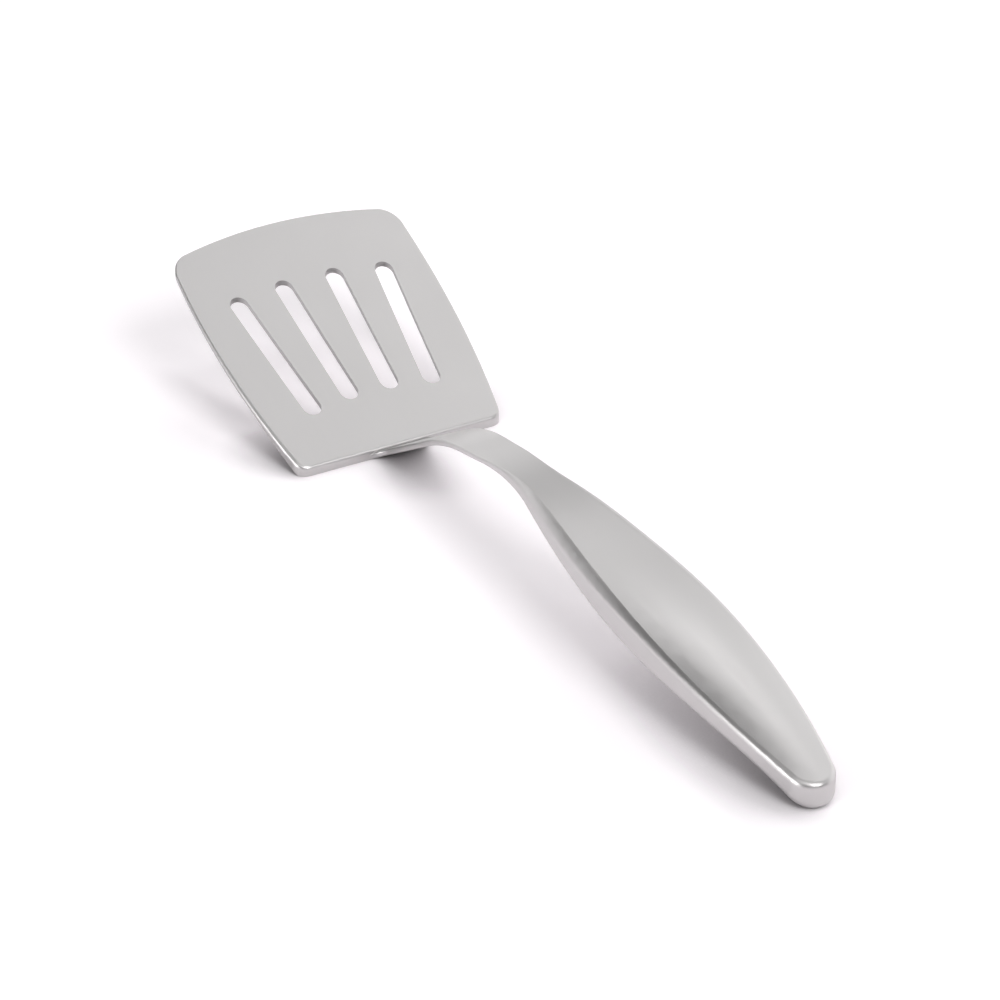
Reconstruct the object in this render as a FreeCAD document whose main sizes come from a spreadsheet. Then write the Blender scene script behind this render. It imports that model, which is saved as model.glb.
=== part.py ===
"""Slotted spatula: a slotted blade with a turned-down heel, a strap neck and a leaf-shaped handle.

The tool is one piece of steel. It rests on the bottom edge of its heel lip and on the end of its
handle, with the blade rising the other way. While it is built, X runs from the heel towards the
handle's end, Y across and Z up, with the heel lip's front face at X = 0. The finished part is then
moved along X, so that its origin lies on the floor under the middle of its bounding box.
"""

import FreeCAD, Part
import math
import os

import Sketcher

NODE = "slotted_spatula"

# Driving dimensions, in millimetres and degrees
SIZES = {
    # Blade, measured in plan
    "sheet_thickness": 1.6,
    "blade_slope": 24.9,
    "blade_curve_radius": 1560.0,
    "lip_height": 3.2,
    "lip_fade": 25.0,
    "blade_reach": 86.6,
    "tip_bow": 5.0,
    "heel_width": 74.0,
    "tip_width": 83.6,
    "side_radius": 262.0,
    "heel_corner_radius": 4.2,
    "tip_corner_radius": 8.0,
    "heel_edge_radius": 1.2,
    "tip_edge_radius": 0.4,
    # Slots, measured in plan
    "slot_width": 6.4,
    "inner_slot_near": 22.5,
    "inner_slot_tip_gap": 23.9,
    "inner_slot_near_offset": 7.4,
    "inner_slot_far_offset": 9.4,
    "outer_slot_near": 20.5,
    "outer_slot_tip_gap": 25.9,
    "outer_slot_near_offset": 22.1,
    "outer_slot_far_offset": 27.0,
    # Neck
    "neck_thickness": 2.0,
    "neck_rise_angle": 30.5,
    "neck_tail_angle": 8.5,
    "neck_bend_radius": 60.0,
    "neck_tail_station": 60.0,
    "neck_tail_crest": 28.9,
    "neck_width": 15.7,
    "neck_flare_radius": 5.0,
    "neck_parallel_reach": 34.0,
    # Neck and handle in plan
    "waist_station": 76.0,
    "waist_width": 13.6,
    "waist_radius": 90.0,
    "belly_station": 164.0,
    "belly_width": 30.7,
    "handle_reach": 241.6,
    "handle_end_radius": 7.6,
    # Handle seen from the side: where each section stands, its crest, its underside, and how far its
    # crowned top falls from the middle to the blank's side
    "throat_station": 76.0,
    "throat_crest": 31.15,
    "throat_underside": 28.2,
    "throat_crown_fall": 0.3,
    "swell_station": 98.0,
    "swell_crest": 31.9,
    "swell_underside": 25.6,
    "swell_crown_fall": 0.8,
    "front_belly_station": 126.0,
    "front_belly_crest": 29.85,
    "front_belly_underside": 20.5,
    "front_belly_crown_fall": 1.8,
    "back_belly_station": 164.0,
    "back_belly_crest": 26.15,
    "back_belly_underside": 14.8,
    "back_belly_crown_fall": 3.4,
    "taper_station": 204.0,
    "taper_crest": 19.5,
    "taper_underside": 9.8,
    "taper_crown_fall": 7.0,
    "end_crest": 8.7,
    "end_underside": -1.42,
    "end_crown_fall": 7.0,
    # Rounding of the handle's edges: the strap's, then the top edges' and the base edges'
    "strap_edge_radius": 0.6,
    "belly_edge_radius": 2.6,
    "end_edge_radius": 2.0,
    "belly_base_radius": 1.4,
    "end_base_radius": 2.4,
    # Blanks that the outlines are cut from
    "blank_half_width": 22.0,
    "blank_width": 120.0,
    "blank_height": 70.0,
    "blank_overrun": 10.0,
}

# Sections of the handle behind the neck, from the waist to the end, with the size that says where
# each one stands
SECTIONS = {
    "throat": "throat_station",
    "swell": "swell_station",
    "front_belly": "front_belly_station",
    "back_belly": "back_belly_station",
    "taper": "taper_station",
    "end": "handle_reach",
}


def make_sheet(doc):
    """Writes the driving dimensions to the spreadsheet, one alias a row."""
    sheet = doc.addObject("Spreadsheet::Sheet", "sizes")
    for row, (alias, value) in enumerate(SIZES.items(), start=1):
        sheet.set(f"A{row}", alias)
        sheet.set(f"B{row}", str(value))
        sheet.setAlias(f"B{row}", alias)
    doc.recompute()
    return sheet


def plane_of(body, role):
    """Returns one of the body's own origin planes, by its role."""
    return next(f for f in body.Origin.OriginFeatures if f.Role == role)


def make_sketch(body, name, role):
    sketch = body.newObject("Sketcher::SketchObject", name)
    sketch.AttachmentSupport = [(plane_of(body, role), "")]
    sketch.MapMode = "FlatFace"
    return sketch


def add_line(sketch, start, end):
    first = FreeCAD.Vector(*start, 0)
    last = FreeCAD.Vector(*end, 0)
    return sketch.addGeometry(Part.LineSegment(first, last), False)


def add_arc(sketch, centre, radius, from_degrees, to_degrees):
    circle = Part.Circle(FreeCAD.Vector(*centre, 0), FreeCAD.Vector(0, 0, 1), radius)
    arc = Part.ArcOfCircle(circle, math.radians(from_degrees), math.radians(to_degrees))
    return sketch.addGeometry(arc, False)


def bind(sketch, constraint, expression):
    """Adds a dimension and drives it from the spreadsheet."""
    index = sketch.addConstraint(constraint)
    sketch.setExpression(f"Constraints[{index}]", expression)


def join(sketch, *ends):
    """Closes a loop of edges: each pair of ends that follow each other share a point."""
    for (edge, end), (other, start) in zip(ends[::2], ends[1::2]):
        sketch.addConstraint(Sketcher.Constraint("Coincident", edge, end, other, start))


def tangent(sketch, *ends):
    """Runs the edges of a loop smoothly into each other, pair by pair."""
    for (edge, end), (other, start) in zip(ends[::2], ends[1::2]):
        sketch.addConstraint(Sketcher.Constraint("Tangent", edge, end, other, start))


def place(sketch, edge, point, right=None, up=None):
    """Drives where a point of an edge lies from the sketch's origin."""
    drawn = sketch.getPoint(edge, point)
    if right is not None:
        bind(sketch, Sketcher.Constraint("DistanceX", -1, 1, edge, point, drawn.x), right)
    if up is not None:
        bind(sketch, Sketcher.Constraint("DistanceY", -1, 1, edge, point, drawn.y), up)


def level_arc_radius(run, rise):
    """Radius of the arc that starts level and climbs by rise over run."""
    return (run ** 2 + rise ** 2) / (2 * rise)


def add_bulge(sketch, start, end, radius):
    """Adds the arc of this radius that runs anticlockwise from start to end."""
    run, rise = end[0] - start[0], end[1] - start[1]
    chord = math.hypot(run, rise)
    height = math.sqrt(radius ** 2 - chord ** 2 / 4)
    centre = (
        (start[0] + end[0]) / 2 - rise / chord * height,
        (start[1] + end[1]) / 2 + run / chord * height,
    )
    first = math.degrees(math.atan2(start[1] - centre[1], start[0] - centre[0]))
    last = math.degrees(math.atan2(end[1] - centre[1], end[0] - centre[0]))
    return add_arc(sketch, centre, radius, first, last)


def pad(body, sketch, name, length, both_ways=False):
    feature = body.newObject("PartDesign::Pad", name)
    feature.Profile = sketch
    feature.Midplane = both_ways
    feature.setExpression("Length", length)
    return feature


def mirror_across(body, feature):
    """Completes a half outline with its mirror image on the other side of the XZ plane."""
    mirror = body.newObject("PartDesign::Mirrored", body.Name + "_mirror")
    mirror.Originals = [feature]
    mirror.MirrorPlane = (plane_of(body, "XZ_Plane"), [""])
    body.Tip = mirror
    return mirror


def upright_edges(shape, station, least_offset):
    """Names the vertical edges that stand at this station along X, off the middle."""
    names = []
    for number, edge in enumerate(shape.Edges, start=1):
        low, high = edge.Vertexes[0].Point, edge.Vertexes[-1].Point
        upright = math.hypot(high.x - low.x, high.y - low.y) < 0.001
        if upright and abs(low.x - station) < 0.5 and abs(low.y) > least_offset:
            names.append(f"Edge{number}")
    return names


def round_corners(body, base, name, station, radius):
    fillet = body.newObject("PartDesign::Fillet", name)
    fillet.Base = (base, upright_edges(base.Shape, station, 1.0))
    fillet.setExpression("Radius", radius)
    body.Tip = fillet
    body.Document.recompute()
    return fillet


def blade_outline(doc, name, size, inset):
    """The blade's outline in plan, standing tall; the inset draws it in by the lip's wall."""
    body = doc.addObject("PartDesign::Body", name)
    sketch = make_sketch(body, name + "_outline", "XY_Plane")
    gap = size["sheet_thickness"] if inset else 0.0
    less = " - sizes.sheet_thickness" if inset else ""
    middle, heel_corner = (0, 0), (0, size["heel_width"] / 2 - gap)
    reach, bow = size["blade_reach"], size["tip_bow"]
    tip, tip_corner = (-reach, 0), (bow - reach, size["tip_width"] / 2 - gap)
    heel = add_line(sketch, middle, heel_corner)
    side = add_bulge(sketch, heel_corner, tip_corner, size["side_radius"])
    end = add_bulge(sketch, tip_corner, tip, level_arc_radius(tip_corner[1], bow))
    axis = add_line(sketch, tip, middle)
    join(sketch, (heel, 2), (side, 1), (side, 2), (end, 1), (end, 2), (axis, 1), (axis, 2), (heel, 1))
    join(sketch, (heel, 1), (-1, 1))
    sketch.addConstraint(Sketcher.Constraint("Vertical", heel))
    sketch.addConstraint(Sketcher.Constraint("Horizontal", axis))
    sketch.addConstraint(Sketcher.Constraint("PointOnObject", end, 3, -1))
    place(sketch, heel, 2, up="sizes.heel_width / 2" + less)
    place(sketch, side, 2, "sizes.tip_bow - sizes.blade_reach", "sizes.tip_width / 2" + less)
    place(sketch, axis, 1, "-sizes.blade_reach")
    bind(sketch, Sketcher.Constraint("Radius", side, size["side_radius"]), "sizes.side_radius")
    if inset:
        sketch.setExpression("AttachmentOffset.Base.x", "-sizes.sheet_thickness")
    standing = pad(body, sketch, name + "_pad", "sizes.blank_height")
    doc.recompute()
    whole = mirror_across(body, standing)
    doc.recompute()
    rounded = round_corners(body, whole, name + "_heel_corners", -gap, "sizes.heel_corner_radius" + less)
    if not inset:
        round_corners(body, rounded, name + "_tip_corners", bow - reach, "sizes.tip_corner_radius")
    return body


def add_sheet_curve(sketch, size, depth, far, near):
    """Adds one face of the blade's sheet, gently curved upwards to the tip, at a depth below its top.

    Returns the arc that runs from the station far to the station near.
    """
    slope, bend = math.radians(size["blade_slope"]), size["blade_curve_radius"]
    centre = (bend * math.sin(slope), size["lip_height"] + bend * math.cos(slope))
    radius = bend + depth
    turns = [270 - math.degrees(math.asin((centre[0] - station) / radius)) for station in (far, near)]
    curve = add_arc(sketch, centre, radius, *turns)
    place(sketch, curve, 3, "sizes.blade_curve_radius * sin(sizes.blade_slope)",
          "sizes.lip_height + sizes.blade_curve_radius * cos(sizes.blade_slope)")
    deeper = " + sizes.sheet_thickness" if depth else ""
    bind(sketch, Sketcher.Constraint("Radius", curve, radius), "sizes.blade_curve_radius" + deeper)
    return curve


def blade_profile(doc, size):
    """The blade seen from the side: a sloping sheet whose heel is turned down into a lip.

    The lip's lower edge is level under the heel, then climbs until it meets the sheet.
    """
    body = doc.addObject("PartDesign::Body", "blade_profile")
    sketch = make_sketch(body, "blade_side", "XZ_Plane")
    gauge, fade = size["sheet_thickness"], size["lip_fade"]
    far = size["blade_reach"] + size["blank_overrun"]
    top = add_sheet_curve(sketch, size, 0, -far, 0)
    under = add_sheet_curve(sketch, size, gauge, -far, -fade)
    far_top, heel_top = sketch.getPoint(top, 1), sketch.getPoint(top, 2)
    far_under, edge_end = sketch.getPoint(under, 1), sketch.getPoint(under, 2)
    front = add_line(sketch, (0, 0), heel_top[:2])
    back = add_line(sketch, far_top[:2], far_under[:2])
    edge = add_line(sketch, edge_end[:2], (-gauge, 0))
    foot = add_line(sketch, (-gauge, 0), (0, 0))
    join(sketch, (front, 2), (top, 2), (top, 1), (back, 1), (back, 2), (under, 1), (under, 2), (edge, 1),
         (edge, 2), (foot, 1), (foot, 2), (front, 1), (front, 1), (-1, 1))
    sketch.addConstraint(Sketcher.Constraint("Vertical", front))
    sketch.addConstraint(Sketcher.Constraint("Vertical", back))
    sketch.addConstraint(Sketcher.Constraint("Horizontal", foot))
    place(sketch, top, 1, "-sizes.blade_reach - sizes.blank_overrun")
    place(sketch, edge, 1, "-sizes.lip_fade")
    place(sketch, foot, 1, "-sizes.sheet_thickness")
    pad(body, sketch, "blade_side_pad", "sizes.blank_width", both_ways=True)
    return body


def lip_hollow(doc, size):
    """The space behind the lip, up to the underside of the sheet, as a tool to cut with."""
    outline = blade_outline(doc, "hollow_outline", size, inset=True)
    body = doc.addObject("PartDesign::Body", "hollow_profile")
    sketch = make_sketch(body, "hollow_side", "XZ_Plane")
    far = size["blade_reach"]
    top = add_sheet_curve(sketch, size, size["sheet_thickness"], -far, 0)
    far_top, near_top = sketch.getPoint(top, 1), sketch.getPoint(top, 2)
    front = add_line(sketch, (0, 0), near_top[:2])
    back = add_line(sketch, far_top[:2], (-far, 0))
    foot = add_line(sketch, (-far, 0), (0, 0))
    join(sketch, (front, 2), (top, 2), (top, 1), (back, 1), (back, 2), (foot, 1), (foot, 2), (front, 1),
         (front, 1), (-1, 1))
    sketch.addConstraint(Sketcher.Constraint("Vertical", front))
    sketch.addConstraint(Sketcher.Constraint("Vertical", back))
    sketch.addConstraint(Sketcher.Constraint("Horizontal", foot))
    place(sketch, top, 1, "-sizes.blade_reach")
    pad(body, sketch, "hollow_side_pad", "sizes.blank_width", both_ways=True)
    hollow = doc.addObject("Part::MultiCommon", "lip_hollow")
    hollow.Shapes = [outline, body]
    return hollow


def add_slot(sketch, size, row):
    """Draws one slot with round ends, leaning outwards towards the tip."""
    near = (-size[row + "_slot_near"], size[row + "_slot_near_offset"])
    far = (size[row + "_slot_tip_gap"] - size["blade_reach"], size[row + "_slot_far_offset"])
    radius = size["slot_width"] / 2
    lean = math.degrees(math.atan2(near[1] - far[1], near[0] - far[0]))
    normal = math.radians(lean + 90)
    step = (radius * math.cos(normal), radius * math.sin(normal))
    near_end = add_arc(sketch, near, radius, lean - 90, lean + 90)
    outer = add_line(sketch, (near[0] + step[0], near[1] + step[1]), (far[0] + step[0], far[1] + step[1]))
    far_end = add_arc(sketch, far, radius, lean + 90, lean + 270)
    inner = add_line(sketch, (far[0] - step[0], far[1] - step[1]), (near[0] - step[0], near[1] - step[1]))
    tangent(sketch, (near_end, 2), (outer, 1), (outer, 2), (far_end, 1),
            (far_end, 2), (inner, 1), (inner, 2), (near_end, 1))
    sketch.addConstraint(Sketcher.Constraint("Equal", near_end, far_end))
    bind(sketch, Sketcher.Constraint("Radius", near_end, radius), "sizes.slot_width / 2")
    place(sketch, near_end, 3, f"-sizes.{row}_slot_near", f"sizes.{row}_slot_near_offset")
    place(sketch, far_end, 3, f"sizes.{row}_slot_tip_gap - sizes.blade_reach",
          f"sizes.{row}_slot_far_offset")


def slot_cutter(doc, size):
    """The four slots as upright bars: two on one side of the middle, and their mirror images."""
    body = doc.addObject("PartDesign::Body", "slot_cutter")
    sketch = make_sketch(body, "slots", "XY_Plane")
    for row in ("inner", "outer"):
        add_slot(sketch, size, row)
    bars = pad(body, sketch, "slot_pad", "sizes.blank_height")
    doc.recompute()
    mirror_across(body, bars)
    return body


def make_blade(doc, size):
    """The slotted blade with its lip: outline and side view in common, less hollow and slots."""
    outline = blade_outline(doc, "blade_outline", size, inset=False)
    profile = blade_profile(doc, size)
    blank = doc.addObject("Part::MultiCommon", "blade_blank")
    blank.Shapes = [outline, profile]
    hollow = lip_hollow(doc, size)
    slots = slot_cutter(doc, size)
    lipped = doc.addObject("Part::Cut", "lipped_blade")
    lipped.Base = blank
    lipped.Tool = hollow
    doc.recompute()
    rounded = doc.addObject("Part::Fillet", "rounded_blade")
    rounded.Base = lipped
    rounded.Edges = [
        (number, blade_edge_radius(size, first.x), blade_edge_radius(size, last.x))
        for number, first, last in rim_edges(lipped.Shape, upper=True)
    ]
    blade = doc.addObject("Part::Cut", "slotted_blade")
    blade.Base = rounded
    blade.Tool = slots
    doc.recompute()
    return blade


def neck_profile(body, size):
    """The neck's strap from the side: straight up from the lip, a bend, then a gentle climb."""
    sketch = make_sketch(body, "neck_side", "XZ_Plane")
    gauge, wall, bend = size["neck_thickness"], size["sheet_thickness"], size["neck_bend_radius"]
    rise, tail = math.radians(size["neck_rise_angle"]), math.radians(size["neck_tail_angle"])
    end = (size["neck_tail_station"], size["neck_tail_crest"] - gauge / math.cos(tail))
    # The underside's two lines cross at this corner, and the bend is tangent to both
    corner_x = (end[1] - end[0] * math.tan(tail)) / (math.tan(rise) - math.tan(tail))
    corner_z = corner_x * math.tan(rise)
    reach = bend * math.tan((rise - tail) / 2)
    centre = (corner_x - reach * math.cos(rise) + bend * math.sin(rise),
              corner_z - reach * math.sin(rise) - bend * math.cos(rise))

    def on_bend(angle, radius):
        return (centre[0] - radius * math.sin(angle), centre[1] + radius * math.cos(angle))

    outer = bend + gauge
    root = (-wall, gauge / math.cos(rise) - wall * math.tan(rise))
    angles = (size["neck_tail_angle"] + 90, size["neck_rise_angle"] + 90)
    foot = add_line(sketch, (-wall, 0), (0, 0))
    under_rise = add_line(sketch, (0, 0), on_bend(rise, bend))
    under_bend = add_arc(sketch, centre, bend, *angles)
    under_tail = add_line(sketch, on_bend(tail, bend), end)
    end_face = add_line(sketch, end, (end[0], size["neck_tail_crest"]))
    top_tail = add_line(sketch, (end[0], size["neck_tail_crest"]), on_bend(tail, outer))
    top_bend = add_arc(sketch, centre, outer, *angles)
    top_rise = add_line(sketch, on_bend(rise, outer), root)
    back = add_line(sketch, root, (-wall, 0))
    tangent(sketch, (under_rise, 2), (under_bend, 2), (under_bend, 1), (under_tail, 1),
            (top_tail, 2), (top_bend, 1), (top_bend, 2), (top_rise, 1))
    join(sketch, (foot, 2), (under_rise, 1), (under_tail, 2), (end_face, 1), (end_face, 2), (top_tail, 1),
         (top_rise, 2), (back, 1), (back, 2), (foot, 1), (foot, 2), (-1, 1), (under_bend, 3), (top_bend, 3))
    sketch.addConstraint(Sketcher.Constraint("Horizontal", foot))
    sketch.addConstraint(Sketcher.Constraint("Vertical", end_face))
    sketch.addConstraint(Sketcher.Constraint("Vertical", back))
    sketch.addConstraint(Sketcher.Constraint("Parallel", top_tail, under_tail))
    sketch.addConstraint(Sketcher.Constraint("Parallel", top_rise, under_rise))
    place(sketch, foot, 1, "-sizes.sheet_thickness")
    place(sketch, top_tail, 1, "sizes.neck_tail_station", "sizes.neck_tail_crest")
    bind(sketch, Sketcher.Constraint("Angle", under_rise, rise), "sizes.neck_rise_angle * 1 deg")
    bind(sketch, Sketcher.Constraint("Angle", under_tail, tail), "sizes.neck_tail_angle * 1 deg")
    bind(sketch, Sketcher.Constraint("Radius", under_bend, bend), "sizes.neck_bend_radius")
    bind(sketch, Sketcher.Constraint("Radius", top_bend, outer),
         "sizes.neck_bend_radius + sizes.neck_thickness")
    return sketch


def box_section(body, name, station, half, low, shoulder, crown_radius):
    """A section of the handle's blank, open to its expressions: flat below, flat or crowned above.

    Returns the sketch with the edges that take its sizes: base, right side and crown.
    """
    sketch = make_sketch(body, name, "YZ_Plane")
    sketch.setExpression("AttachmentOffset.Base.z", station)
    base = add_line(sketch, (-half, low), (half, low))
    right = add_line(sketch, (half, low), (half, shoulder))
    if crown_radius:
        crown = add_bulge(sketch, (half, shoulder), (-half, shoulder), crown_radius)
    else:
        crown = add_line(sketch, (half, shoulder), (-half, shoulder))
    left = add_line(sketch, (-half, shoulder), (-half, low))
    join(sketch, (base, 2), (right, 1), (right, 2), (crown, 1), (crown, 2), (left, 1), (left, 2), (base, 1))
    sketch.addConstraint(Sketcher.Constraint("Vertical", right))
    sketch.addConstraint(Sketcher.Constraint("Vertical", left))
    sketch.addConstraint(Sketcher.Constraint("Symmetric", base, 1, base, 2, -2))
    return sketch, base, right, crown


def tail_section(body, size):
    """The loft's first section, which is the end face of the neck's strap."""
    half, crest = size["blank_half_width"], size["neck_tail_crest"]
    depth = size["neck_thickness"] / math.cos(math.radians(size["neck_tail_angle"]))
    sketch, base, right, crown = box_section(body, "tail_section", "sizes.neck_tail_station", half,
                                             crest - depth, crest, None)
    underside = "sizes.neck_tail_crest - sizes.neck_thickness / cos(sizes.neck_tail_angle)"
    place(sketch, base, 2, "sizes.blank_half_width", underside)
    place(sketch, right, 2, up="sizes.neck_tail_crest")
    sketch.addConstraint(Sketcher.Constraint("Horizontal", crown))
    return sketch


def crowned_section(body, size, place_name, station):
    """One section of the handle proper, with its top crowned by an arc."""
    half, fall = size["blank_half_width"], size[place_name + "_crown_fall"]
    radius = level_arc_radius(half, fall)
    sketch, base, right, crown = box_section(
        body, place_name + "_section", "sizes." + station, half, size[place_name + "_underside"],
        size[place_name + "_crest"] - fall, radius)
    drop = f"sizes.{place_name}_crown_fall"
    place(sketch, base, 2, "sizes.blank_half_width", f"sizes.{place_name}_underside")
    place(sketch, right, 2, up=f"sizes.{place_name}_crest - {drop}")
    sketch.addConstraint(Sketcher.Constraint("PointOnObject", crown, 3, -2))
    bind(sketch, Sketcher.Constraint("Radius", crown, radius),
         f"(sizes.blank_half_width * sizes.blank_half_width + {drop} * {drop}) / (2 * {drop})")
    return sketch


def handle_form(doc, size):
    """Neck and handle as seen from the side, wider than they will be: a strap, then a loft."""
    body = doc.addObject("PartDesign::Body", "handle_form")
    strap = neck_profile(body, size)
    pad(body, strap, "neck_pad", "2 * sizes.blank_half_width", both_ways=True)
    first = tail_section(body, size)
    others = [crowned_section(body, size, name, station) for name, station in SECTIONS.items()]
    doc.recompute()
    loft = body.newObject("PartDesign::AdditiveLoft", "handle_loft")
    loft.Profile = first
    loft.Sections = others
    body.Tip = loft
    doc.recompute()
    return body


def handle_outline(doc, size):
    """Neck and handle in plan: flared root, parallel neck, waist, belly and round end."""
    body = doc.addObject("PartDesign::Body", "handle_outline")
    sketch = make_sketch(body, "handle_plan", "XY_Plane")
    gauge, flare, end = size["sheet_thickness"], size["neck_flare_radius"], size["handle_end_radius"]
    root, waist, belly = size["neck_width"] / 2, size["waist_width"] / 2, size["belly_width"] / 2
    neck_x, waist_x = size["neck_parallel_reach"], size["waist_station"]
    belly_x, reach, hollow = size["belly_station"], size["handle_reach"], size["waist_radius"]
    # Radii that make neighbouring arcs tangent, with the waist and the belly level
    narrowing = level_arc_radius(waist_x - neck_x, root - waist)
    widening = level_arc_radius(belly_x - waist_x, belly - waist)
    end_run = reach - end - belly_x
    rear_radius = (end_run ** 2 + belly ** 2 - end ** 2) / (2 * (belly - end))
    lean = math.degrees(math.asin((waist_x - neck_x) / narrowing))
    swell = math.degrees(math.asin((belly_x - waist_x) / widening))
    taper = math.degrees(math.atan2(end_run, rear_radius - belly))
    axis = add_line(sketch, (-gauge, 0), (reach, 0))
    end_arc = add_arc(sketch, (reach - end, 0), end, 0, 90 - taper)
    rear = add_arc(sketch, (belly_x, belly - rear_radius), rear_radius, 90 - taper, 90)
    front = add_arc(sketch, (belly_x, belly - widening + hollow), widening - hollow, 90, 90 + swell)
    waist_arc = add_arc(sketch, (waist_x, waist + hollow), hollow, -90 - lean, -90 + swell)
    shoulder = add_arc(sketch, (neck_x, root - narrowing + hollow), narrowing - hollow, 90 - lean, 90)
    neck = add_line(sketch, (neck_x, root), (flare, root))
    flare_arc = add_arc(sketch, (flare, root + flare), flare, 180, 270)
    inward = add_line(sketch, (0, root + flare), (-gauge, root + flare))
    back = add_line(sketch, (-gauge, root + flare), (-gauge, 0))
    tangent(sketch, (end_arc, 2), (rear, 1), (rear, 2), (front, 1), (front, 2), (waist_arc, 2),
            (waist_arc, 1), (shoulder, 1), (shoulder, 2), (neck, 1), (neck, 2), (flare_arc, 2))
    join(sketch, (flare_arc, 1), (inward, 1), (inward, 2), (back, 1), (back, 2), (axis, 1),
         (axis, 2), (end_arc, 1))
    for level in (axis, inward, neck):
        sketch.addConstraint(Sketcher.Constraint("Horizontal", level))
    sketch.addConstraint(Sketcher.Constraint("Vertical", back))
    sketch.addConstraint(Sketcher.Constraint("Vertical", rear, 3, rear, 2))
    sketch.addConstraint(Sketcher.Constraint("PointOnObject", end_arc, 3, -1))
    place(sketch, axis, 1, "-sizes.sheet_thickness")
    sketch.addConstraint(Sketcher.Constraint("PointOnObject", axis, 1, -1))
    place(sketch, axis, 2, "sizes.handle_reach")
    place(sketch, rear, 2, "sizes.belly_station", "sizes.belly_width / 2")
    place(sketch, waist_arc, 3, "sizes.waist_station", "sizes.waist_width / 2 + sizes.waist_radius")
    place(sketch, neck, 1, "sizes.neck_parallel_reach", "sizes.neck_width / 2")
    place(sketch, flare_arc, 3, "sizes.neck_flare_radius")
    sketch.addConstraint(Sketcher.Constraint("Horizontal", flare_arc, 3, flare_arc, 1))
    bind(sketch, Sketcher.Constraint("Radius", flare_arc, flare), "sizes.neck_flare_radius")
    bind(sketch, Sketcher.Constraint("Radius", waist_arc, hollow), "sizes.waist_radius")
    bind(sketch, Sketcher.Constraint("Radius", end_arc, end), "sizes.handle_end_radius")
    standing = pad(body, sketch, "handle_plan_pad", "2 * sizes.blank_height", both_ways=True)
    doc.recompute()
    mirror_across(body, standing)
    return body


def face_normal(face, point):
    return face.normalAt(*face.Surface.parameter(point))


def rim_edges(shape, upper):
    """Finds the edges where an upright side meets the top, or the underside.

    Yields each edge's number and its two ends, in the edge's own direction.
    """
    for number, edge in enumerate(shape.Edges, start=1):
        middle = edge.valueAt((edge.FirstParameter + edge.LastParameter) / 2)
        faces = shape.ancestorsOfType(edge, Part.Face)
        if len(faces) != 2:
            continue
        slopes = sorted((abs(face_normal(face, middle).z), face_normal(face, middle).z) for face in faces)
        side, level = slopes
        if side[0] < 0.05 and level[0] > 0.5 and (level[1] > 0) == upper:
            yield number, edge.firstVertex(True).Point, edge.lastVertex(True).Point


def handle_edge_radius(size, station, row):
    """Radius at a station of the top edge or the base edge, as the row says.

    It is small on the strap, grows over the swell, holds to the belly and then nears that of the end.
    """
    waist, swell, belly = size["waist_station"], size["swell_station"], size["belly_station"]
    stop = size["handle_reach"] - size["handle_end_radius"]
    strap, wide, end = size["strap_edge_radius"], size[f"belly_{row}_radius"], size[f"end_{row}_radius"]
    grown = min(1.0, max(0.0, (station - waist) / (swell - waist)))
    ended = min(1.0, max(0.0, (station - belly) / (stop - belly)))
    return strap + (wide - strap) * grown + (end - wide) * ended


def handle_radii(size, shape, row):
    """Lists the handle's top or base edges behind the root, each with the radii at its two ends."""
    return [
        (number, handle_edge_radius(size, first.x, row), handle_edge_radius(size, last.x, row))
        for number, first, last in rim_edges(shape, upper=row == "edge")
        if min(first.x, last.x) > size["neck_flare_radius"] / 2
    ]


def make_handle(doc, size):
    """Neck and handle: side form and plan in common, with every long edge rounded."""
    form = handle_form(doc, size)
    outline = handle_outline(doc, size)
    blank = doc.addObject("Part::MultiCommon", "handle_blank")
    blank.Shapes = [form, outline]
    doc.recompute()
    crest = doc.addObject("Part::Fillet", "rounded_crest")
    crest.Base = blank
    crest.Edges = handle_radii(size, blank.Shape, "edge")
    doc.recompute()
    handle = doc.addObject("Part::Fillet", "rounded_handle")
    handle.Base = crest
    handle.Edges = handle_radii(size, crest.Shape, "base")
    doc.recompute()
    return handle


def blade_edge_radius(size, station):
    """Edge radius at a station: the heel's bend, fading along the sides to the plain sheet edge."""
    heel, tip = size["heel_edge_radius"], size["tip_edge_radius"]
    start = size["heel_corner_radius"]
    stop = size["blade_reach"] - size["tip_bow"] - size["tip_corner_radius"]
    share = (-station - start) / (stop - start)
    return heel + (tip - heel) * min(1.0, max(0.0, share))


def make_spatula(doc, size):
    """Blade and handle as one solid, set with its origin under the middle of its box."""
    blade = make_blade(doc, size)
    handle = make_handle(doc, size)
    spatula = doc.addObject("Part::MultiFuse", NODE)
    spatula.Shapes = [blade, handle]
    doc.recompute()
    spatula.Label = NODE
    return spatula


def centre_on_origin(doc, part):
    """Moves the part along X, so that the middle of its box stands over the origin."""
    box = part.Shape.optimalBoundingBox()
    part.Placement.Base.x -= (box.XMin + box.XMax) / 2
    doc.recompute()


def check(doc, parts):
    """Stops the build where an object failed or a part isn't one valid solid."""
    for item in doc.Objects:
        if "Invalid" in item.State or "Error" in item.State:
            raise RuntimeError(f"{item.Label} failed: {item.State}")
    for part in parts:
        if part.Shape.isNull() or not part.Shape.isValid() or len(part.Shape.Solids) != 1:
            raise RuntimeError(f"{part.Label} isn't one valid solid")


def main():
    doc = FreeCAD.newDocument("slotted_spatula_model")
    make_sheet(doc)
    spatula = make_spatula(doc, SIZES)
    centre_on_origin(doc, spatula)
    check(doc, [spatula])
    os.makedirs("parts", exist_ok=True)
    spatula.Shape.exportStep(f"parts/{spatula.Label}.step")


main()
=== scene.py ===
"""Finish, light and camera of the slotted spatula.

The steel of the tool keeps the shape that the frame gives it. This script dresses it in satin-brushed
steel with plain punched edges whose darker colour is partly painted shade, lays it on a pale floor that
carries a painted shadow close to the tool, under a soft studio tent, and sets the camera where the
photograph was taken from. All lengths are in metres.
"""

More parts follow.
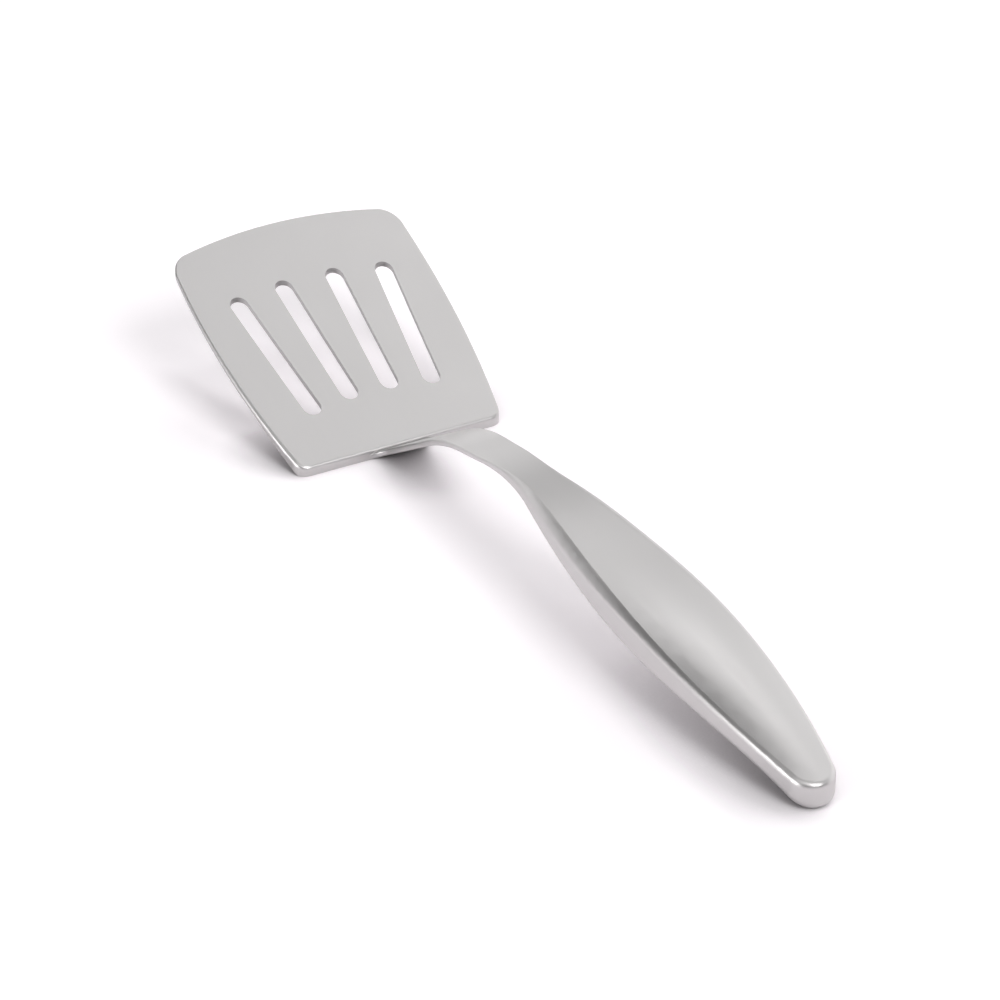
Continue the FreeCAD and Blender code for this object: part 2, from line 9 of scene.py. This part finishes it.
import logging
import math
from dataclasses import dataclass, field
from enum import Enum
from typing import Any, Mapping, Optional, Union

import bpy
from mathutils import Matrix, Vector


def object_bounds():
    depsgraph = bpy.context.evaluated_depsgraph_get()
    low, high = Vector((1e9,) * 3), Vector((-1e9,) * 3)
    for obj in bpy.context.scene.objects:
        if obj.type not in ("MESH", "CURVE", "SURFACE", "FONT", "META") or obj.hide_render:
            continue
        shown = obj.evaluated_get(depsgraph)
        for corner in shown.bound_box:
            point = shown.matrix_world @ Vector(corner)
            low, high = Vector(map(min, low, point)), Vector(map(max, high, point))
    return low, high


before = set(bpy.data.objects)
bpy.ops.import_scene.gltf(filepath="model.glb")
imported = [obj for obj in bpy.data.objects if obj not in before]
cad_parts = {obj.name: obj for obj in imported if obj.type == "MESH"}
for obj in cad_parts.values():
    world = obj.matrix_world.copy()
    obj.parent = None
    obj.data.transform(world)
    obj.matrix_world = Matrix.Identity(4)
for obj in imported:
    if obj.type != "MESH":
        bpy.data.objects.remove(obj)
CAD_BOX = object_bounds()

LOG = logging.getLogger("spatula")

NODE = "slotted_spatula"
PHOTO_WIDTH = 1000
SENSOR_WIDTH = 36.0


class Grain(Enum):
    """What marks the steel, and how many times a metre that repeats along X, Y and Z."""

    BRUSHED = (4.0, 420.0, 420.0)
    PUNCHED = (420.0, 420.0, 420.0)
    HANDLED = (26.0, 38.0, 38.0)


class Value:
    """A number that varies over a surface: a shader socket that takes part in Python expressions.

    Args:
        graph: The graph that the socket belongs to.
        socket: The output socket that carries the number.
    """

    def __init__(self, graph: "Graph", socket: bpy.types.NodeSocket) -> None:
        self.graph = graph
        self.socket = socket

    def _maths(self, operation: str, first: "Input", second: "Input") -> "Value":
        """Adds one Math node.

        Args:
            operation: The node's operation.
            first: Its first number.
            second: Its second number.

        Returns:
            The node's result.
        """
        return self.graph.node("ShaderNodeMath", {"operation": operation}, {0: first, 1: second})

    def __add__(self, other: "Input") -> "Value":
        """Self plus other."""
        return self._maths("ADD", self, other)

    __radd__ = __add__

    def __sub__(self, other: "Input") -> "Value":
        """Self less other."""
        return self._maths("SUBTRACT", self, other)

    def __rsub__(self, other: "Input") -> "Value":
        """Other less self."""
        return self._maths("SUBTRACT", other, self)

    def __mul__(self, other: "Input") -> "Value":
        """Self times other."""
        return self._maths("MULTIPLY", self, other)

    __rmul__ = __mul__

    def __abs__(self) -> "Value":
        """Self without its sign."""
        return self._maths("ABSOLUTE", self, 0.0)

    def ramp(self, low: float, high: float) -> "Value":
        """Maps low to 0 and high to 1, smoothly, and clamps outside them."""
        return self.graph.node(
            "ShaderNodeMapRange",
            {"interpolation_type": "SMOOTHSTEP", "clamp": True},
            {0: self, 1: low, 2: high, 3: 0.0, 4: 1.0},
        )


Input = Union[Value, float, int, tuple, str]


class Graph:
    """Builds the nodes of one material or world.

    Args:
        tree: The node tree to fill, which is emptied first.
    """

    def __init__(self, tree: bpy.types.NodeTree) -> None:
        self.tree = tree
        tree.nodes.clear()

    def node(
        self,
        kind: str,
        settings: Optional[Mapping[str, Any]] = None,
        inputs: Optional[Mapping[Union[int, str], Input]] = None,
        output: Union[int, str] = 0,
    ) -> Value:
        """Adds one node of any kind.

        Args:
            kind: The node's type.
            settings: What the node is told before its sockets are filled, such as its operation.
            inputs: A value or a link for each input socket that is named or numbered.
            output: The output socket to hand back.

        Returns:
            The chosen output socket.
        """
        made = self.tree.nodes.new(kind)
        for name, value in (settings or {}).items():
            setattr(made, name, value)
        for key, value in (inputs or {}).items():
            if isinstance(value, Value):
                self.tree.links.new(value.socket, made.inputs[key])
            else:
                made.inputs[key].default_value = value
        if not made.outputs:
            return Value(self, made.inputs[0])
        return Value(self, made.outputs[output])

    def blend(self, share: Input, first: Input, second: Input) -> Value:
        """Mixes two colours: the first where the share is 0, the second where it is 1."""
        settings = {"data_type": "RGBA", "blend_type": "MIX", "clamp_factor": True}
        return self.node("ShaderNodeMix", settings, {0: share, 6: first, 7: second}, output=2)

    def noise(self, place: Value, grain: Grain, detail: float, roughness: float = 0.5) -> Value:
        """Grey noise around 0.

        Args:
            place: The place on the surface, in metres.
            grain: How the noise is stretched.
            detail: How many finer layers it has.
            roughness: How strong the finer layers are.

        Returns:
            The noise.
        """
        settings = {"operation": "MULTIPLY"}
        scaled = self.node("ShaderNodeVectorMath", settings, {0: place, 1: grain.value})
        inputs = {"Vector": scaled, "Scale": 1.0, "Detail": detail, "Roughness": roughness}
        return self.node("ShaderNodeTexNoise", {"noise_dimensions": "3D"}, inputs) - 0.5

    def surface(self, shader: Value, kind: str = "ShaderNodeOutputMaterial") -> None:
        """Ends the graph in its output node."""
        self.node(kind, None, {"Surface": shader})


@dataclass(frozen=True)
class BrushedSteel:
    """Satin stainless steel, brushed along the tool, with plainer punched edges in the blade whose
    darker colour is partly painted shade.

    Args:
        face: Colour of the brushed faces.
        edge_and_shade: Colour of the punched walls of the slots and of the blade's rim, darker than the
            faces partly as painted shade.
        roughness: Gloss of the brushed faces.
        edge_roughness: Gloss of the punched walls.
        grain_height: Depth of the brushing.
        tone_swing: How far the grain lightens and darkens the colour.
        gloss_swing: How far the grain changes the gloss.
        handling_tone: Share of the tone's swing that the handling marks have.
        handling_gloss: Share of the gloss's swing that the handling marks have.
        blade_end: Where along X the punched walls of the blade have ended.
        blade_fade: Length over which they end.
        wall_slope: Upward part of the normal from which a face stops being an upright wall, and
            the part at which it is a face.
    """

    face: tuple = (0.56, 0.548, 0.547, 1.0)
    edge_and_shade: tuple = (0.44, 0.432, 0.43, 1.0)
    roughness: float = 0.41
    edge_roughness: float = 0.44
    grain_height: float = 0.000004
    tone_swing: float = 0.04
    gloss_swing: float = 0.1
    handling_tone: float = 0.6
    handling_gloss: float = 0.8
    blade_end: float = -0.0803
    blade_fade: float = 0.002
    wall_slope: tuple = (0.05, 0.2)

    def build(self, name: str) -> bpy.types.Material:
        """Makes the material.

        Args:
            name: The material's name.

        Returns:
            The material.
        """
        material = bpy.data.materials.new(name)
        material.use_nodes = True
        graph = Graph(material.node_tree)
        place = graph.node("ShaderNodeTexCoord", output="Object")
        brushing = graph.noise(place, Grain.BRUSHED, detail=3.0, roughness=0.6)
        speckle = graph.noise(place, Grain.PUNCHED, detail=1.0)
        handling = graph.noise(place, Grain.HANDLED, detail=3.0)
        cut = self.punched(graph, place)

        grain = brushing * (1 - cut) + speckle * cut
        tone = grain * self.tone_swing + handling * (self.tone_swing * self.handling_tone) + 1
        # The punched walls get a darker colour: partly a plainer finish, partly painted shade.
        plain = graph.blend(cut, self.face, self.edge_and_shade)
        toned = graph.node("ShaderNodeVectorMath", {"operation": "SCALE"}, {0: plain, "Scale": tone})
        rough = grain * self.gloss_swing + handling * (self.gloss_swing * self.handling_gloss)
        rough = rough + cut * (self.edge_roughness - self.roughness) + self.roughness
        relief = {"Strength": 1.0, "Distance": self.grain_height, "Height": grain}
        bump = graph.node("ShaderNodeBump", None, relief)
        finish = {"Base Color": toned, "Metallic": 1.0, "Roughness": rough, "Normal": bump}
        graph.surface(graph.node("ShaderNodeBsdfPrincipled", None, finish))
        return material

    def punched(self, graph: Graph, place: Value) -> Value:
        """Finds the upright walls that the press cut through the blade, which take the darker, partly
        painted-shade colour.

        Args:
            graph: The graph to add to.
            place: The place on the surface, in metres.

        Returns:
            1 on the cut walls, 0 on the brushed faces.
        """
        facing = graph.node("ShaderNodeNewGeometry", output="True Normal")
        upright = graph.node("ShaderNodeSeparateXYZ", None, {0: facing}, output="Z")
        along = graph.node("ShaderNodeSeparateXYZ", None, {0: place}, output="X")
        in_blade = along.ramp(self.blade_end, self.blade_end - self.blade_fade)
        return (1 - abs(upright).ramp(*self.wall_slope)) * in_blade


@dataclass(frozen=True)
class PaleFloor:
    """A white floor with soft, slightly violet shadows, made deeper close to the tool by a painted
    shadow.

    Args:
        shade: Colour of the floor as the camera and the steel see it.
        painted_shadow: Colour of the painted shadow right under the tool.
        painted_shadow_reach: How far from the tool the painted shadow reaches.
        painted_shadow_side: Direction in which the tool lies from the floor that the painted shadow
            darkens.
        painted_shadow_samples: How finely the painted shadow is worked out.
        diffuse: Colour of the floor for light that bounces off it.
    """

    shade: tuple = (1.14, 1.1, 1.13, 1.0)
    painted_shadow: tuple = (0.16, 0.15, 0.155, 1.0)
    painted_shadow_reach: float = 0.018
    painted_shadow_side: tuple = (0.51, 0.385, 0.766)
    painted_shadow_samples: int = 8
    diffuse: tuple = (0.8, 0.8, 0.8, 1.0)

    def build(self, name: str) -> bpy.types.Material:
        """Makes the material.

        Args:
            name: The material's name.

        Returns:
            The material.
        """
        material = bpy.data.materials.new(name)
        material.use_nodes = True
        graph = Graph(material.node_tree)
        plain = graph.node("ShaderNodeBsdfDiffuse", None, {"Color": self.diffuse})
        # Painted shadow: close to the tool, ambient occlusion mixes the floor's colour towards a dark
        # colour.
        painted_shadow_shader = graph.node("ShaderNodeBsdfDiffuse", None, {"Color": self.painted_shadow})
        bright = graph.node("ShaderNodeBsdfDiffuse", None, {"Color": self.shade})
        side = graph.node("ShaderNodeCombineXYZ", None, dict(enumerate(self.painted_shadow_side)))
        reach = {"Distance": self.painted_shadow_reach, "Normal": side}
        settings = {"samples": self.painted_shadow_samples}
        painted_shadow_openness = graph.node("ShaderNodeAmbientOcclusion", settings, reach, output="AO")
        shown = graph.node("ShaderNodeMixShader", None, {0: painted_shadow_openness, 1: painted_shadow_shader, 2: bright})
        rays = ("Is Camera Ray", "Is Glossy Ray", "Is Transmission Ray")
        seen = sum(graph.node("ShaderNodeLightPath", output=ray) for ray in rays)
        graph.surface(graph.node("ShaderNodeMixShader", None, {0: seen, 1: plain, 2: shown}))
        return material


@dataclass
class Spatula:
    """The tool itself, which is one piece of steel.

    Args:
        finish: The finish of its steel.
        node: The frame's name for it.
    """

    finish: BrushedSteel = field(default_factory=BrushedSteel)
    node: str = NODE

    def dress(self) -> bpy.types.Object:
        """Gives the frame's solid its finish.

        Returns:
            The dressed object.
        """
        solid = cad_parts[self.node]
        steel = self.finish.build("brushed_steel")
        solid.data.materials.clear()
        solid.data.materials.append(steel)
        LOG.info("dressed %s in %s", solid.name, steel.name)
        return solid


@dataclass(frozen=True)
class Panel:
    """A round patch of light with a soft edge, in the wall of the tent.

    Args:
        bearing: Direction round Z from +X towards +Y, in degrees.
        rise: Height above the level, in degrees.
        reach: Angle from its middle to where it has half faded, in degrees.
        blur: Angle over which it fades, in degrees.
        glow: Brightness that it adds.
    """

    bearing: float
    rise: float
    reach: float
    blur: float
    glow: float

    def towards(self) -> tuple:
        """The unit vector from the tool to the panel's middle."""
        level = math.cos(math.radians(self.rise))
        bearing = math.radians(self.bearing)
        return (level * math.cos(bearing), level * math.sin(bearing), math.sin(math.radians(self.rise)))

    def light(self, graph: Graph, look: Value) -> Value:
        """Adds the panel's light.

        Args:
            graph: The world's graph.
            look: The direction that is looked in.

        Returns:
            The brightness that it adds in that direction.
        """
        settings = {"operation": "DOT_PRODUCT"}
        inputs = {0: look, 1: self.towards()}
        facing = graph.node("ShaderNodeVectorMath", settings, inputs, output="Value")
        faint = math.cos(math.radians(self.reach + self.blur / 2))
        full = math.cos(math.radians(self.reach - self.blur / 2))
        return facing.ramp(faint, full) * self.glow


@dataclass(frozen=True)
class Tent:
    """The light tent: a dark wall with bright panels.

    Args:
        wall: Brightness of the wall between the panels.
        panels: The bright panels.
    """

    wall: float = 0.0
    panels: tuple = (
        Panel(7.0, 38.0, 14.0, 5.0, 7.19),
        Panel(-37.0, 63.0, 30.0, 6.0, 0.94),
        Panel(96.0, 7.0, 40.0, 37.0, 1.48),
        Panel(-88.0, 9.0, 18.0, 15.0, 5.5),
        Panel(92.0, 63.0, 9.0, 6.0, 2.20),
        Panel(-176.0, 10.0, 34.0, 6.0, 1.45),
        Panel(140.0, 53.0, 12.0, 4.0, 2.36),
    )

    def hang(self) -> None:
        """Sets the world."""
        world = bpy.data.worlds.new("tent")
        bpy.context.scene.world = world
        world.use_nodes = True
        graph = Graph(world.node_tree)
        look = graph.node("ShaderNodeTexCoord", output="Generated")
        brightness = sum((panel.light(graph, look) for panel in self.panels), self.wall)
        colour = graph.node("ShaderNodeCombineXYZ", None, {0: brightness, 1: brightness, 2: brightness})
        light = graph.node("ShaderNodeBackground", None, {"Color": colour, "Strength": 1.0})
        graph.surface(light, "ShaderNodeOutputWorld")
        LOG.info("hung the tent with %d panels", len(self.panels))


@dataclass(frozen=True)
class Viewpoint:
    """The camera, where the photograph was taken from.

    Args:
        place: The camera's place.
        swing: Its bearing round Z, seen from the tool.
        rise: Its height above the level, as an angle.
        roll: Its turn about its own line of sight.
        focal_pixels: Its focal length, in pixels of the photograph.
        clip: The nearest and the farthest distance that it sees.
    """

    place: tuple = (0.913217, -0.538007, 0.61161)
    swing: float = -0.525484
    rise: float = 0.509618
    roll: float = -0.0002
    focal_pixels: float = 3961.65
    clip: tuple = (0.05, 60.0)

    def aim(self) -> bpy.types.Object:
        """Adds the camera and makes it the scene's own.

        Returns:
            The camera's object.
        """
        data = bpy.data.cameras.new("camera")
        data.sensor_width = SENSOR_WIDTH
        data.lens = self.focal_pixels / PHOTO_WIDTH * SENSOR_WIDTH
        data.clip_start, data.clip_end = self.clip
        camera = bpy.data.objects.new("camera", data)
        back = Vector((
            math.cos(self.rise) * math.cos(self.swing),
            math.cos(self.rise) * math.sin(self.swing),
            math.sin(self.rise),
        ))
        right = Vector((-math.sin(self.swing), math.cos(self.swing), 0.0))
        up = back.cross(right)
        turn = Matrix((right, up, back)).transposed().to_4x4() @ Matrix.Rotation(self.roll, 4, "Z")
        camera.matrix_world = Matrix.Translation(self.place) @ turn
        bpy.context.scene.collection.objects.link(camera)
        bpy.context.scene.camera = camera
        LOG.info("aimed the camera, lens %.1f mm", data.lens)
        return camera


@dataclass
class Studio:
    """Floor, tent and camera.

    Args:
        floor: The floor's finish.
        floor_side: Length of the floor's sides.
        tent: The light tent.
        viewpoint: The camera.
    """

    floor: PaleFloor = field(default_factory=PaleFloor)
    floor_side: float = 30.0
    tent: Tent = field(default_factory=Tent)
    viewpoint: Viewpoint = field(default_factory=Viewpoint)

    def lay_floor(self) -> bpy.types.Object:
        """Adds the floor just under the tool.

        Returns:
            The floor's object.
        """
        half = self.floor_side / 2
        low = CAD_BOX[0].z
        corners = [(-half, -half, low), (half, -half, low), (half, half, low), (-half, half, low)]
        mesh = bpy.data.meshes.new("floor")
        mesh.from_pydata(corners, [], [(0, 1, 2, 3)])
        mesh.materials.append(self.floor.build("pale_floor"))
        floor = bpy.data.objects.new("floor", mesh)
        bpy.context.scene.collection.objects.link(floor)
        LOG.info("laid the floor")
        return floor

    def build(self) -> None:
        """Builds the studio round the tool."""
        self.lay_floor()
        self.tent.hang()
        self.viewpoint.aim()


def main() -> None:
    """Dresses the tool and builds the studio."""
    logging.basicConfig(level=logging.INFO, format="%(name)s: %(message)s")
    bpy.context.scene.view_settings.view_transform = "Standard"
    Spatula().dress()
    Studio().build()


if __name__ == "__main__":
    main()
